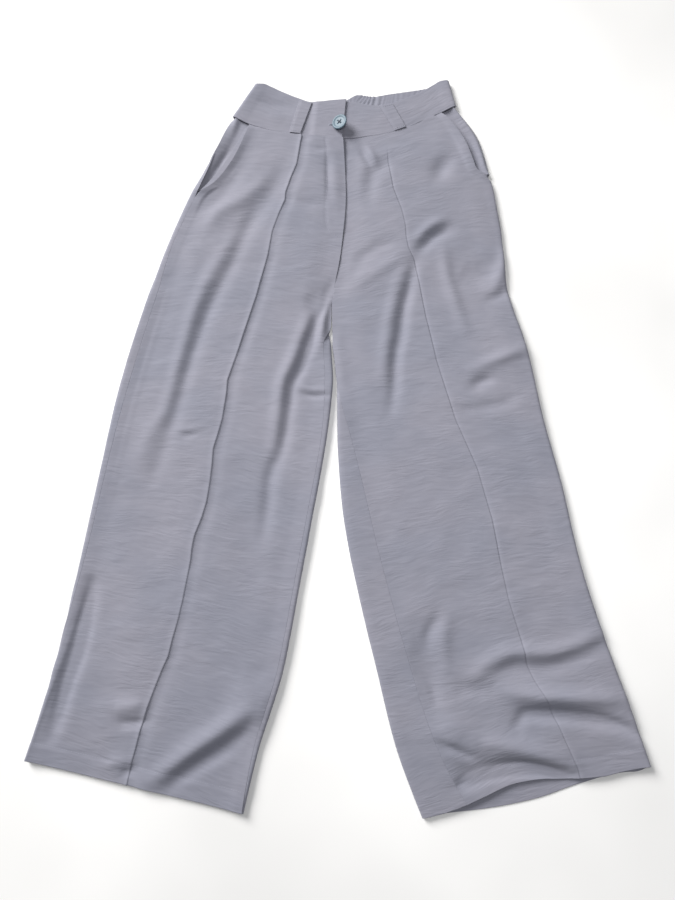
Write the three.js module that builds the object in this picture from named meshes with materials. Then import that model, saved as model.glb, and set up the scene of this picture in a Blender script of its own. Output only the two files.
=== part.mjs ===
// Palazzo pants laid flat on their back: two wide legs, each a flattened tube of front and back
// panel, a waistband with an elasticated back, a fly with one button, two belt loops and two
// slant pockets. Millimetres, +X towards the wearer's left, +Y towards the waist, +Z up.
import * as THREE from "three";

// ---- Driving dimensions ----
const CLOTH = 1.2; // wall of one layer of crepe
const BAND = 2.4; // wall of the doubled waistband
const LOOP = 1.8; // wall of a belt loop, folded in three
const GAP = 0.3; // space between neighbouring pieces
const LAYER = CLOTH + GAP; // height taken up by one layer of cloth
const ROLL = 3; // radius at which the cloth rolls over an edge, at mid-wall
const REST_LIFT = 4; // mid-wall of a front above mid-wall of its back, away from edges and folds
const LEAST_LIFT = 1.7; // the same at the bottom of the deepest fold
const EDGE_REACH = 20; // how far in from an edge its roll still holds the cloth up
const TUCK_HALF = 3; // half the width of a pin tuck
const TUCK_RISE = 2; // height of a pin tuck over its panel
const WAIST_GAP = 0.5; // how far waistband and legs each stay off the waist seam's line
const FLY_UNDERLAP = 8; // how far the left front reaches under the right one along the fly
const BAND_UNDERLAP = 30; // the same for the waistband's button end
const BUTTON_RADIUS = 12;
const BUTTON_THICKNESS = 3;
const BUTTON_TILT = THREE.MathUtils.degToRad(23); // its edge on the wearer's left stands up
const ROWS_PER_SECTION = 2; // rows of cloth from one section of a leg to the next

const QUARTER_ROLL = (ROLL * Math.PI) / 2; // cloth from an edge's outermost line to its top
const CROTCH = 6; // index of the first section at which a leg is a closed tube
const POCKET_ROWS = 6; // rows of cloth that a pocket mouth spans
const FLY_END = 3.2; // section down to which the left front reaches under the right one

const toRows = (columns, rows) =>
  rows.map((row) => Object.fromEntries(columns.map((name, i) => [name, row[i]])));

// ---- Sections of the legs, waist seam to hem ----
// outer and inner: ends of the section on the leg's outline (the inner end is the centre seam
// above the crotch). side: the side seam, measured round the cloth from the outer edge, negative
// underneath. pocket: from the side seam on to the pocket mouth. tuck: from the outer edge to the
// pin tuck. inseam: from the inner edge back to the inseam, on top. lift: the front's lift at the
// section's inner end.
const LEG_COLUMNS = [
  "outerX", "outerY", "innerX", "innerY", "side", "pocket", "tuck", "inseam", "lift",
];
const RIGHT_LEG = toRows(LEG_COLUMNS, [
  [-161, 520, 8, 483, -3, 32, 109, 0, 5],
  [-187, 461, 10.5, 439, 3, 31, 127, 0, 5],
  [-212, 408, 12, 390, 9, 15, 138, 0, 5],
  [-224, 385, 11, 364, 11, 0, 141, 0, 5],
  [-252, 309, 3, 288, 9, 0, 150, 0, 5],
  [-275, 238, -9, 215, 14, 0, 156, 0, 4],
  [-295, 169, -10.5, 154, 16, 0, 155, 12, 2 * ROLL],
  [-305, 124, -7.5, 105, 15, 0, 153, 13, 2 * ROLL],
  [-320, 46, -16, 20, 13, 0, 152, 9, 2 * ROLL],
  [-335, -49, -34, -84, 10, 0, 155, 9, 2 * ROLL],
  [-352, -153, -54, -195, 8, 0, 147, 9, 2 * ROLL],
  [-369, -249, -74, -301, 2, 0, 147, 9, 2 * ROLL],
  [-387, -335, -103, -393, -6, 0, 135, 8, 2 * ROLL],
  [-407, -409, -122, -473, -8, 0, 136, 3, 2 * ROLL],
]);
const LEFT_LEG = toRows(LEG_COLUMNS, [
  [181, 538, 8, 483, -4, 30, 112, 0, 3],
  [215, 482, 10.5, 439, -2, 26, 138, 0, 3],
  [227, 434, 12, 390, -2, 21, 147, 0, 3],
  [231, 411, 11, 364, -4, 0, 144, 0, 3],
  [243, 325, 3, 288, -8, 0, 136, 0, 3],
  [247, 246, -9, 215, -10, 0, 125, 0, 4],
  [267, 169, -7.5, 154, -10, 0, 129, 1, 2 * ROLL],
  [277, 124, -2, 105, -10, 0, 128, 1, 2 * ROLL],
  [290, 46, -1, 20, -10, 0, 121, 20, 2 * ROLL],
  [311, -49, 6, -82, -10, 0, 109, 37, 2 * ROLL],
  [329, -153, 27, -195, -10, 0, 106, 43, 2 * ROLL],
  [354, -249, 52, -299, -10, 0, 106, 46, 2 * ROLL],
  [381, -335, 75, -392, -10, 0, 97, 52, 2 * ROLL],
  [405, -416, 108, -479, -10, 0, 91, 60, 2 * ROLL],
]);

// ---- Largest folds: soft ridges (positive rise) and troughs along a line ----
const FOLD_COLUMNS = ["fromX", "fromY", "toX", "toY", "width", "rise"];
const RIGHT_FOLDS = toRows(FOLD_COLUMNS, [
  [-142, 488, -204, 397, 13, 3.6], // lip of the pocket mouth
  [-132, 382, -198, 215, 14, -2],
  [-198, 215, -258, 10, 14, -1.8],
  [-158, 341, -225, 170, 13, 3.5],
  [-225, 170, -277, -90, 13, 2.5],
  [-24, 235, -80, 95, 11, -2],
  [-48, 215, -96, 112, 11, 3],
  [-239, -423, -113, -345, 13, 5],
  [-216, -450, -104, -380, 12, -2],
]);
const LEFT_FOLDS = toRows(FOLD_COLUMNS, [
  [166, 512, 206, 425, 13, 3], // lip of the pocket mouth
  [152, 478, 122, 415, 15, -2],
  [104, 270, 71, 123, 13, -2],
  [71, 123, 65, 0, 13, -2],
  [238, 300, 190, 258, 12, 3.5],
  [136, -190, 111, -260, 12, -2],
  [111, -260, 116, -320, 12, -2],
  [152, -296, 198, -273, 11, 5],
  [198, -273, 252, -270, 11, 5],
  [217, -311, 352, -335, 12, 5],
  [230, -347, 385, -358, 10, -2],
  [123, -370, 253, -386, 12, 6],
  [253, -386, 303, -414, 12, 5],
  [160, -423, 288, -414, 10, -2],
]);
// Bows of a hem, each fading out to both sides of its centre and up the leg. The left leg's top
// layer is drawn up by its folds, so that the layer underneath shows past it. The right leg's
// lower layer dips a little past its top layer.
const HEM_LINE = { hemY: -455, reach: 110 }; // where the bows are full, and how far up they fade
const RIGHT_BOWS = [{ centreX: -288, half: 34, rise: -7, layer: "under" }];
const LEFT_BOWS = [
  { centreX: 235, half: 125, rise: -9, layer: "both" },
  { centreX: 246, half: 125, rise: 28, layer: "top" },
  { centreX: 378, half: 34, rise: 3, layer: "top" },
  { centreX: 390, half: 26, rise: -5, layer: "under" },
];

// ---- Edges of the waistband as [x, y], from the side to the centre and on under the lap ----
const RIGHT_BAND = {
  top: [[-128, 575], [-113, 575], [-86, 563], [-43, 546], [-12, 547], [14, 549], [40, 550]],
  backTop: [[-126, 572], [-86, 560], [-43, 543], [10, 550], [40, 551]],
  seam: [[-161, 520], [-136, 508], [-103, 498], [-71, 492], [-19, 486], [8, 484], [36, 483]],
};
const LEFT_BAND = {
  top: [[171, 581], [158, 580], [128, 563], [97, 549], [66, 540], [36, 543], [14, 547], [-22, 549]],
  backTop: [[168, 578], [128, 569], [90, 563], [50, 557], [30, 560], [10, 551], [-22, 550]],
  seam: [[181, 538], [136, 517], [97, 499], [66, 491], [36, 487], [8, 484], [-22, 486]],
};
const BAND_ROWS = 4;
const BAND_CLEAR = 0.3; // further space where a front band lies on the back band
const BAND_REST_LIFT = BAND + GAP + BAND_CLEAR;
const BAND_WRAP = 5; // how far the front band wraps round its outer edge
// The two ends of the front band lie on each other at the button: lift of each end, and the
// stretch before the centre over which the band rises to it.
const LAP = { upper: 2 * (BAND + GAP) + BAND_CLEAR, lower: BAND + GAP + 0.1, from: 54, to: 42 };

// ---- Small helpers ----
const { clamp, lerp, smoothstep } = THREE.MathUtils;

// An edge of the waistband: its point at a distance from the side, and its length to the centre,
// which is its last point but one.
function bandEdge(points) {
  const curve = new THREE.SplineCurve(points.map(([x, y]) => new THREE.Vector2(x, y)));
  const stretches = points.length - 1;
  const steps = 40; // measured on each stretch between two points
  const length = curve.getLength();
  return {
    toCentre: curve.getLengths(steps * stretches)[steps * (stretches - 1)],
    point: (distance) => curve.getPointAt(clamp(distance / length, 0, 1)),
  };
}

// Where a point lies on a rolled edge, by its distance along the cloth from the outermost line:
// inset from the edge, rise over the lower layer, and how much of the top layer it is.
// rise is null on top past the roll, where the layer's own lift takes over.
function onRolledEdge(along) {
  if (Math.abs(along) < QUARTER_ROLL) {
    const turn = along / ROLL;
    const up = 1 + Math.sin(turn);
    return { inset: ROLL * (1 - Math.cos(turn)), rise: ROLL * up, top: up / 2 };
  }
  const inset = ROLL + Math.abs(along) - QUARTER_ROLL;
  return along > 0 ? { inset, rise: null, top: 1 } : { inset, rise: 0, top: 0 };
}

// How far a piece stays off a seam: more where the seam lies on or near a roll, because the flat
// facets of the two pieces cut its curve short.
const ON_ROLL = { widen: 2.6, reach: 1.5 }; // most that the gap grows, and how far in quarter rolls
function offSeam(along) {
  const near = Math.max(0, ON_ROLL.reach - Math.abs(along) / QUARTER_ROLL);
  return (GAP / 2) * (1 + ON_ROLL.widen * near);
}

// Share of an edge's lift that is left at a distance in from the edge.
const edgeHold = (distance) => Math.exp(-((Math.max(distance - ROLL, 0) / EDGE_REACH) ** 2));

// Curve through four values that never runs past them, at t between the middle two.
function smoothBetween(a, b, c, d, t) {
  const slope = (before, after) => (before * after > 0 ? (2 * before * after) / (before + after) : 0);
  const [start, end] = [slope(b - a, c - b), slope(c - b, d - c)];
  const ease = t * t * (3 - 2 * t);
  return lerp(b, c, ease) + start * t * (1 - t) ** 2 - end * t * t * (1 - t);
}

// A leg's section between those of its table.
function sectionBetween(table, place) {
  const i = Math.min(Math.floor(place), table.length - 2);
  const four = [i - 1, i, i + 1, i + 2].map((k) => table[clamp(k, 0, table.length - 1)]);
  const section = Object.fromEntries(
    LEG_COLUMNS.map((name) => [name, smoothBetween(...four.map((row) => row[name]), place - i)]),
  );
  section.width = Math.hypot(section.outerX - section.innerX, section.outerY - section.innerY);
  return section;
}

const mapValues = (object, change) =>
  Object.fromEntries(Object.entries(object).map(([key, value]) => [key, change(value)]));

// ---- From a grid of mid-wall points to a closed wall ----
// A grid's first and last column only tell which way the cloth goes on past its edge.
const CLOSE_BY = 0.4; // distance of those columns from the edge of a leg's piece
const GUIDE_SHARE = 0.1; // the same on a small piece, as a share of its first and last step

function withGuides(grid) {
  const beyond = (edge, next) => edge.map((value, k) => lerp(value, next[k], -GUIDE_SHARE));
  return grid.map((row) => [beyond(row[0], row[1]), ...row, beyond(row.at(-1), row.at(-2))]);
}

// The wall's vertices are the grid's points, moved half its thickness to each side.
function wall(grid, thickness) {
  const rows = grid.length;
  const columns = grid[0].length - 2;
  const vertex = (i, j) => new THREE.Vector3(...grid[i][j + 1].slice(0, 3));
  const acrossAt = (i, j) => {
    if (j === 0) return vertex(i, 0).sub(vertex(i, -1));
    if (j === columns - 1) return vertex(i, columns).sub(vertex(i, j));
    return vertex(i, j + 1).sub(vertex(i, j - 1));
  };
  const positions = [];
  for (const side of [1, -1]) {
    for (let i = 0; i < rows; i++) {
      for (let j = 0; j < columns; j++) {
        const down = vertex(Math.min(i + 1, rows - 1), j).sub(vertex(Math.max(i - 1, 0), j));
        const normal = down.cross(acrossAt(i, j)).normalize();
        const point = vertex(i, j).addScaledVector(normal, (side * thickness) / 2);
        positions.push(point.x, point.y, point.z);
      }
    }
  }
  const index = [];
  const other = rows * columns;
  const at = (i, j) => i * columns + j;
  const quad = (a, b, c, d) => index.push(a, b, c, a, c, d);
  for (let i = 0; i < rows - 1; i++) {
    for (let j = 0; j < columns - 1; j++) {
      quad(at(i, j), at(i + 1, j), at(i + 1, j + 1), at(i, j + 1));
      quad(at(i, j) + other, at(i, j + 1) + other, at(i + 1, j + 1) + other, at(i + 1, j) + other);
    }
  }
  const rim = [];
  for (let i = 0; i < rows - 1; i++) rim.push(at(i, 0));
  for (let j = 0; j < columns - 1; j++) rim.push(at(rows - 1, j));
  for (let i = rows - 1; i > 0; i--) rim.push(at(i, columns - 1));
  for (let j = columns - 1; j > 0; j--) rim.push(at(0, j));
  rim.forEach((a, k) => {
    const b = rim[(k + 1) % rim.length];
    quad(b, a, a + other, b + other);
  });
  const geometry = new THREE.BufferGeometry();
  geometry.setAttribute("position", new THREE.Float32BufferAttribute(positions, 3));
  geometry.setIndex(signedVolume(positions, index) < 0 ? index.reverse() : index);
  geometry.computeVertexNormals();
  return geometry;
}

function signedVolume(positions, index) {
  const corner = (k) => new THREE.Vector3().fromArray(positions, 3 * index[k]);
  let sixfold = 0;
  for (let k = 0; k < index.length; k += 3) {
    sixfold += corner(k).dot(corner(k + 1).cross(corner(k + 2)));
  }
  return sixfold / 6;
}

// ---- Legs ----
// Sections in their final spacing. The first few bow with the waist seam.
function legSections(table, seam) {
  const count = (table.length - 1) * ROWS_PER_SECTION + 1;
  return Array.from({ length: count }, (_, i) => {
    const place = i / ROWS_PER_SECTION;
    const bow = Math.max(1 - place, 0);
    return { ...sectionBetween(table, place), place, seam, bow, closed: place >= CROTCH };
  });
}

function planPoint({ outerX, outerY, innerX, innerY, width, seam, bow }, distance) {
  const share = distance / width;
  const straight = new THREE.Vector2(lerp(outerX, innerX, share), lerp(outerY, innerY, share));
  const onSeam = seam.point(share * seam.toCentre);
  return straight.lerp(onSeam, bow);
}

// Lift of the top layer over the bottom one, at a distance in from the outer edge.
function topLift(section, distance) {
  const fromInner = section.width - distance;
  return (
    REST_LIFT +
    (2 * ROLL - REST_LIFT) * edgeHold(distance) +
    (section.lift - REST_LIFT) * edgeHold(fromInner)
  );
}

// A mid-wall point of a section: [x, y, z, share of the top layer].
function sectionPoint(section, distance, rise, top) {
  const plan = planPoint(section, distance);
  return [plan.x, plan.y, CLOTH / 2 + (rise ?? topLift(section, distance)), top];
}

function fromOuterEdge(section, along) {
  const { inset, rise, top } = onRolledEdge(along);
  return sectionPoint(section, inset, rise, top);
}

function fromInnerEdge(section, along) {
  const { inset, rise, top } = onRolledEdge(along);
  return sectionPoint(section, section.width - inset, rise, top);
}

// Columns of a front: in from its side seam, on to its tuck, across the tuck, on from there, and
// in to its inseam or centre seam.
const EDGE_STEPS = [0, 3.5, 7, 10.5, 14.5, 22];
const OUTER_SHARES = [0.35, 0.7];
const TUCK_STEPS = [-TUCK_HALF, 0, TUCK_HALF];
const INNER_SHARES = [0.3, 0.65];
const INNER_STEPS = [22, 8, 0];
const TUCK_COLUMN = EDGE_STEPS.length + OUTER_SHARES.length + 2; // the tuck's crest, with a guide

function frontSection(section, underlap) {
  const start = section.side + section.pocket + offSeam(section.side + section.pocket);
  const edge = [-CLOSE_BY, ...EDGE_STEPS].map((step) => fromOuterEdge(section, start + step));
  const onTop = (distance) => sectionPoint(section, distance, null, 1);
  const fromEnd = (step) =>
    section.closed
      ? fromInnerEdge(section, section.inseam + offSeam(section.inseam) + step)
      : onTop(section.width - GAP - step + underlap);
  const inner = [...INNER_STEPS, -CLOSE_BY].map(fromEnd);
  const edgeEnd = onRolledEdge(start + EDGE_STEPS.at(-1)).inset;
  const innerStart = section.closed
    ? onRolledEdge(section.inseam + GAP / 2 + INNER_STEPS[0]).inset
    : INNER_STEPS[0] - underlap;
  const outerHalf = OUTER_SHARES.map((share) =>
    onTop(lerp(edgeEnd, section.tuck - TUCK_HALF, share)),
  );
  const innerHalf = INNER_SHARES.map((share) =>
    onTop(lerp(section.tuck + TUCK_HALF, section.width - innerStart, share)),
  );
  const tuck = TUCK_STEPS.map((step) => onTop(section.tuck + step));
  return [...edge, ...outerHalf, ...tuck, ...innerHalf, ...inner];
}

const BACK_EDGE_STEPS = [0, 4, 8, 12, 20]; // columns of a back from its side seam, underneath
const BACK_SHARES = [0.3, 0.5, 0.7]; // columns across its middle, as shares of the leg's width
const BACK_INNER_REACH = 12; // its last column before them, in from the inner edge's roll
const LEAST_STEP = 0.8; // closest that two columns come

// Columns of a back round its inner edge, from the inseam to underneath, as distances along the
// cloth from the outermost line. They stay in order where the inseam lies low on the roll.
function backInnerColumns(inseam) {
  const q = QUARTER_ROLL;
  const onTop = [inseam, (inseam + q) / 2];
  const wished = [...onTop, q, q / 3, -q / 3, -q, -q - BACK_INNER_REACH];
  const columns = [];
  for (const wish of wished) {
    const limit = columns.length ? columns.at(-1) - LEAST_STEP : Infinity;
    columns.push(Math.min(wish, limit));
  }
  return [inseam + CLOSE_BY, ...columns];
}
// The same columns where the leg is not closed, from the centre seam.
const OPEN_BACK_STEPS = [-CLOSE_BY, 0, 1.5, 3, 5, 7, 10, 22];

function backSection(section) {
  const edge = [-CLOSE_BY, ...BACK_EDGE_STEPS].map((step) =>
    fromOuterEdge(section, section.side - offSeam(section.side) - step),
  );
  const underneath = (distance) => sectionPoint(section, distance, 0, 0);
  const inner = section.closed
    ? backInnerColumns(section.inseam - offSeam(section.inseam)).map((along) =>
        fromInnerEdge(section, along),
      )
    : OPEN_BACK_STEPS.map((step) => underneath(section.width - GAP - step));
  const middle = BACK_SHARES.map((share) => underneath(section.width * share));
  return [...edge, ...middle, ...inner.reverse()];
}

// The pocket's hip piece runs from the side seam under the front's pocket mouth.
const BEARING_STEPS = [0, 0.2, 0.4, 0.65, 1]; // columns as shares of its width
const BEARING_UNDER = 16; // how far it reaches on under the front
const BEARING_REACH = 8; // how far in from the edge it has sunk to the layer below

function bearingSection(section) {
  const reach = section.pocket + BEARING_UNDER;
  const columns = BEARING_STEPS.map((share) => reach * share);
  return [-CLOSE_BY, ...columns, reach + CLOSE_BY].map((step) => {
    const { inset, rise, top } = onRolledEdge(section.side + offSeam(section.side) + step);
    const hold = Math.exp(-((Math.max(inset - ROLL, 0) / BEARING_REACH) ** 2));
    const sunk = LAYER + (2 * ROLL - LAYER) * hold;
    return sectionPoint(section, inset, rise ?? sunk, top);
  });
}

// Height that folds add at a point of the top layer.
function foldRise(folds, x, y) {
  const point = new THREE.Vector3(x, y, 0);
  const nearest = new THREE.Vector3();
  return folds.reduce((sum, fold) => {
    const line = new THREE.Line3(
      new THREE.Vector3(fold.fromX, fold.fromY, 0),
      new THREE.Vector3(fold.toX, fold.toY, 0),
    );
    line.closestPointToPoint(point, true, nearest);
    return sum + fold.rise * Math.exp(-((nearest.distanceTo(point) / fold.width) ** 2));
  }, 0);
}

// Keeps the waist edge off the waist seam's line, adds the folds, and keeps the layers apart.
function finishLegGrid(grid, folds) {
  return grid.map((row, i) =>
    row.map(([x, y, z, top]) => {
      const share = clamp(top, 0, 1);
      const folded = z + share * foldRise(folds, x, y);
      const lowest = CLOTH / 2 + share * LEAST_LIFT;
      return [x, i === 0 ? y - WAIST_GAP : y, Math.max(folded, lowest)];
    }),
  );
}

const raiseTuck = (grid) =>
  grid.map((row) =>
    row.map(([x, y, z], column) => [x, y, column === TUCK_COLUMN ? z + TUCK_RISE : z]),
  );

// Share of a bow that a point takes, by how much of the top layer it is.
const BOW_SHARE = { both: () => 1, top: (top) => top, under: (top) => 1 - top };

function bowHem(grid, bows) {
  return grid.map((row) =>
    row.map(([x, y, z, top]) => {
      const down = 1 - smoothstep(y - HEM_LINE.hemY, 0, HEM_LINE.reach);
      const moves = bows.map(({ centreX, half, rise, layer }) => {
        const across = 1 - smoothstep(Math.abs(x - centreX), 0, half);
        return rise * across * BOW_SHARE[layer](top);
      });
      return [x, y + down * moves.reduce((sum, move) => sum + move, 0), z, top];
    }),
  );
}

function makeLeg(table, seam, folds, bows, underlap) {
  const sections = legSections(table, seam);
  const front = sections.map((section) =>
    frontSection(section, section.place < FLY_END ? underlap : 0),
  );
  return {
    front: finishLegGrid(bowHem(front, bows), folds),
    back: finishLegGrid(bowHem(sections.map(backSection), bows), folds),
    bearing: finishLegGrid(sections.slice(0, POCKET_ROWS).map(bearingSection), []),
  };
}

// The turned edge of the right pocket mouth, showing past the front's edge: made from the
// front's first columns, one layer down.
// Least and further width that it shows, how far its lip hangs, and the front column it reaches.
const FACING = { least: 1, shows: 9, hang: 0.4, under: 3 };

function pocketFacing(front) {
  return front.slice(1, POCKET_ROWS).map((row, i, rows) => {
    const [, edge, next] = row;
    const away = new THREE.Vector2(edge[0] - next[0], edge[1] - next[1]).normalize();
    const bulge = Math.sin((Math.PI * (i + 0.5)) / rows.length);
    const reach = FACING.least + FACING.shows * bulge;
    const down = ([x, y, z]) => [x, y, z - LAYER];
    const [x, y, z] = down(edge);
    const lip = [x + away.x * reach, y + away.y * reach, z - FACING.hang];
    return [lip, [x, y, z], down(row[FACING.under])];
  });
}

// ---- Waistband ----
function bandPath(topEdge, seam) {
  const width = (share) => lerp(topEdge.toCentre, seam.toCentre, share);
  return {
    width,
    // A plan point, share 0 at the top edge to 1 at the seam, at a distance from the side.
    plan(share, distance) {
      const part = distance / width(share);
      const upper = topEdge.point(part * topEdge.toCentre);
      return upper.lerp(seam.point(part * seam.toCentre), share);
    },
  };
}

function bandLift(path, share, distance, lapLift) {
  const fromCentre = path.width(share) - distance;
  const lap = 1 - smoothstep(fromCentre, LAP.to, LAP.from);
  const side = (2 * ROLL - BAND_REST_LIFT) * edgeHold(distance);
  return BAND_REST_LIFT + side + (lapLift - BAND_REST_LIFT) * lap;
}

// A mid-wall point of a front band, by its distance along the cloth from the outer edge.
function frontBandPoint(path, share, along, lapLift) {
  const { inset, rise } = onRolledEdge(along);
  const plan = path.plan(share, inset);
  return [plan.x, plan.y, BAND / 2 + (rise ?? bandLift(path, share, inset, lapLift))];
}

const bandShares = Array.from({ length: BAND_ROWS }, (_, i) => i / (BAND_ROWS - 1));
// Columns of a front band: from round its outer edge, across its middle, and at its lap.
const BAND_SIDE_STEPS = [-BAND_WRAP, -BAND_WRAP / 2, 0, BAND_WRAP / 2, BAND_WRAP, 14, 26];
const BAND_SHARES = [0.3, 0.5];
const liftOffSeam = (point, share) =>
  share === 1 ? [point[0], point[1] + WAIST_GAP, point[2]] : point;

function frontBand(path, lapLift, lap) {
  return bandShares.map((share) => {
    const end = path.width(share) - GAP / 2 + lap;
    const middle = BAND_SHARES.map((part) => path.width(share) * part);
    const before = [LAP.from, LAP.to].map((distance) => path.width(share) - distance);
    const columns = [...BAND_SIDE_STEPS, ...middle, ...before, lerp(before[1], end, 0.5), end];
    return columns.map((along) =>
      liftOffSeam(frontBandPoint(path, share, along, lapLift), share),
    );
  });
}

const BACK_BAND_GAP = 3 * GAP; // between the front and back bands, which meet below the roll
const BACK_BAND_SHARES = [0, 0.1, 0.25, 0.4, 0.55, 0.7, 0.85, 1]; // columns, side to centre

function backBand(rightPath, leftPath) {
  const start = onRolledEdge(-BAND_WRAP - BACK_BAND_GAP).inset;
  const half = (path, share) =>
    BACK_BAND_SHARES.map((part) => {
      const plan = path.plan(share, lerp(start, path.width(share), part));
      return liftOffSeam([plan.x, plan.y, BAND / 2], share);
    });
  return bandShares.map((share) => [
    ...half(rightPath, share),
    ...half(leftPath, share).reverse().slice(1),
  ]);
}

// A belt loop lies on its band from just under the top edge to the waist seam.
const LOOPS = {
  right: { topAt: 86, seamAt: 101, topWidth: 20, seamWidth: 17 },
  left: { topAt: 109, seamAt: 96, topWidth: 20, seamWidth: 18 },
};
const LOOP_SHARES = [0.03, 0.3, 0.65, 0.98];
const LOOP_ARCH = 0.5; // how much a loop stands off its band at mid length

function beltLoop(path, { topAt, seamAt, topWidth, seamWidth }, lapLift) {
  return LOOP_SHARES.map((share) => {
    const middle = lerp(topAt, seamAt, share);
    const half = lerp(topWidth, seamWidth, share) / 2;
    const off = BAND / 2 + GAP + LOOP / 2 + LOOP_ARCH * Math.sin(Math.PI * share);
    return [-half, -half / 3, half / 3, half].map((across) => {
      const [x, y, z] = frontBandPoint(path, share, middle + across, lapLift);
      return [x, y, z + off];
    });
  });
}

// ---- Fly and button ----
// The closed zip lies between the two fronts' edges, on the back panels.
const ZIP = { topY: 476, bottomY: 335, left: -17, right: 12, thickness: 1 };
const ZIP_SHARES = [0, 0.25, 0.5, 0.75, 1]; // rows, top to bottom
const ZIP_ACROSS = [0, 0.4, 0.75, 1]; // columns

function zipStrip() {
  const mid = CLOTH + GAP + ZIP.thickness / 2;
  return ZIP_SHARES.map((share) => {
    const y = lerp(ZIP.topY, ZIP.bottomY, share);
    return ZIP_ACROSS.map((across) => [lerp(ZIP.left, ZIP.right, across), y, mid]);
  });
}

// A button with a raised rim round a dish: its profile as distances in from the edge and heights.
const BUTTON_HALF = BUTTON_THICKNESS / 2;
const BUTTON_PROFILE = [
  [BUTTON_RADIUS, -BUTTON_HALF], [3, -BUTTON_HALF], [0.7, -0.7], [0, 0],
  [0.7, 1.2], [2, BUTTON_HALF], [4, 0.6], [BUTTON_RADIUS, 0.4],
];
const BUTTON_SIDES = 32;

function buttonGeometry() {
  const points = BUTTON_PROFILE.map(([inset, y]) => new THREE.Vector2(BUTTON_RADIUS - inset, y));
  return new THREE.LatheGeometry(points, BUTTON_SIDES).rotateX(Math.PI / 2);
}

// ---- Assembly ----
const crepe = new THREE.MeshStandardMaterial({ color: 0x90909c, roughness: 0.75, metalness: 0 });
const tape = new THREE.MeshStandardMaterial({ color: 0x8f92a0, roughness: 0.7, metalness: 0 });
const pearl = new THREE.MeshStandardMaterial({ color: 0x9fb3c3, roughness: 0.3, metalness: 0 });

const pants = new THREE.Group();
function addPiece(name, geometry, material = crepe) {
  const mesh = new THREE.Mesh(geometry, material);
  mesh.name = name;
  pants.add(mesh);
  return mesh;
}

const rightEdges = mapValues(RIGHT_BAND, bandEdge);
const leftEdges = mapValues(LEFT_BAND, bandEdge);
const rightLeg = makeLeg(RIGHT_LEG, rightEdges.seam, RIGHT_FOLDS, RIGHT_BOWS, 0);
const leftLeg = makeLeg(LEFT_LEG, leftEdges.seam, LEFT_FOLDS, LEFT_BOWS, FLY_UNDERLAP);
addPiece("front_right", wall(raiseTuck(rightLeg.front), CLOTH));
addPiece("front_left", wall(raiseTuck(leftLeg.front), CLOTH));
addPiece("back_right", wall(rightLeg.back, CLOTH));
addPiece("back_left", wall(leftLeg.back, CLOTH));
addPiece("pocket_bearing_right", wall(rightLeg.bearing, CLOTH));
addPiece("pocket_bearing_left", wall(leftLeg.bearing, CLOTH));
addPiece("pocket_facing_right", wall(withGuides(pocketFacing(rightLeg.front)), CLOTH));
addPiece("fly_zip", wall(withGuides(zipStrip()), ZIP.thickness), tape);

const rightBand = bandPath(rightEdges.top, rightEdges.seam);
const leftBand = bandPath(leftEdges.top, leftEdges.seam);
const upperBand = frontBand(rightBand, LAP.upper, 0);
const lowerBand = frontBand(leftBand, LAP.lower, BAND_UNDERLAP);
addPiece("waistband_front_right", wall(withGuides(upperBand), BAND));
addPiece("waistband_front_left", wall(withGuides(lowerBand), BAND));
const rightBackBand = bandPath(rightEdges.backTop, rightEdges.seam);
const leftBackBand = bandPath(leftEdges.backTop, leftEdges.seam);
addPiece("waistband_back", wall(withGuides(backBand(rightBackBand, leftBackBand)), BAND));
const rightLoop = beltLoop(rightBand, LOOPS.right, LAP.upper);
const leftLoop = beltLoop(leftBand, LOOPS.left, LAP.lower);
addPiece("belt_loop_right", wall(withGuides(rightLoop), LOOP));
addPiece("belt_loop_left", wall(withGuides(leftLoop), LOOP));

const BUTTON_PLACE = { x: 2, y: 505 };
const button = addPiece("button", buttonGeometry(), pearl);
const bandTop = BAND + LAP.upper + GAP;
const edgeDrop = BUTTON_RADIUS * Math.sin(BUTTON_TILT) + BUTTON_HALF;
button.position.set(BUTTON_PLACE.x, BUTTON_PLACE.y, bandTop + edgeDrop);
button.rotation.y = -BUTTON_TILT;

// The origin is the middle of the outline, on the surface that the pants lie on.
const centre = new THREE.Box3().setFromObject(pants).getCenter(new THREE.Vector3());
pants.position.set(-centre.x, -centre.y, 0);

const model = new THREE.Group();
model.add(pants);
export default model;
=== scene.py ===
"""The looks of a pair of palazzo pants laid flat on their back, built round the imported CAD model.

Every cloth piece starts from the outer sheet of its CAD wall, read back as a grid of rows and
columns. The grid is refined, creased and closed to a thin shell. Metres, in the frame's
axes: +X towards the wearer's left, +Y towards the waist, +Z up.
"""
import math

import bpy
import numpy as np
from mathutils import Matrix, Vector


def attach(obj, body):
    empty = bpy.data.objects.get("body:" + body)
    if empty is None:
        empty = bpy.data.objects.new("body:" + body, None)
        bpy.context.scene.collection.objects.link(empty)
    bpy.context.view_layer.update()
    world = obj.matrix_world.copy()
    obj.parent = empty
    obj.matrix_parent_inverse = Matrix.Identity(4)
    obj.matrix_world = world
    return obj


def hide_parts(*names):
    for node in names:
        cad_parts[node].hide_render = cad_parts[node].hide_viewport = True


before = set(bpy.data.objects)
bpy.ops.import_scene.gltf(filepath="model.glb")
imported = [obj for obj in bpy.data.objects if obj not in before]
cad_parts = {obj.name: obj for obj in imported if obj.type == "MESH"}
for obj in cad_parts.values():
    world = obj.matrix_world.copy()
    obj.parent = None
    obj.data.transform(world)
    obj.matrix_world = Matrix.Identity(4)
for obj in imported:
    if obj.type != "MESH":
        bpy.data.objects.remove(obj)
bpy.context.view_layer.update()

MM = 0.001

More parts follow.
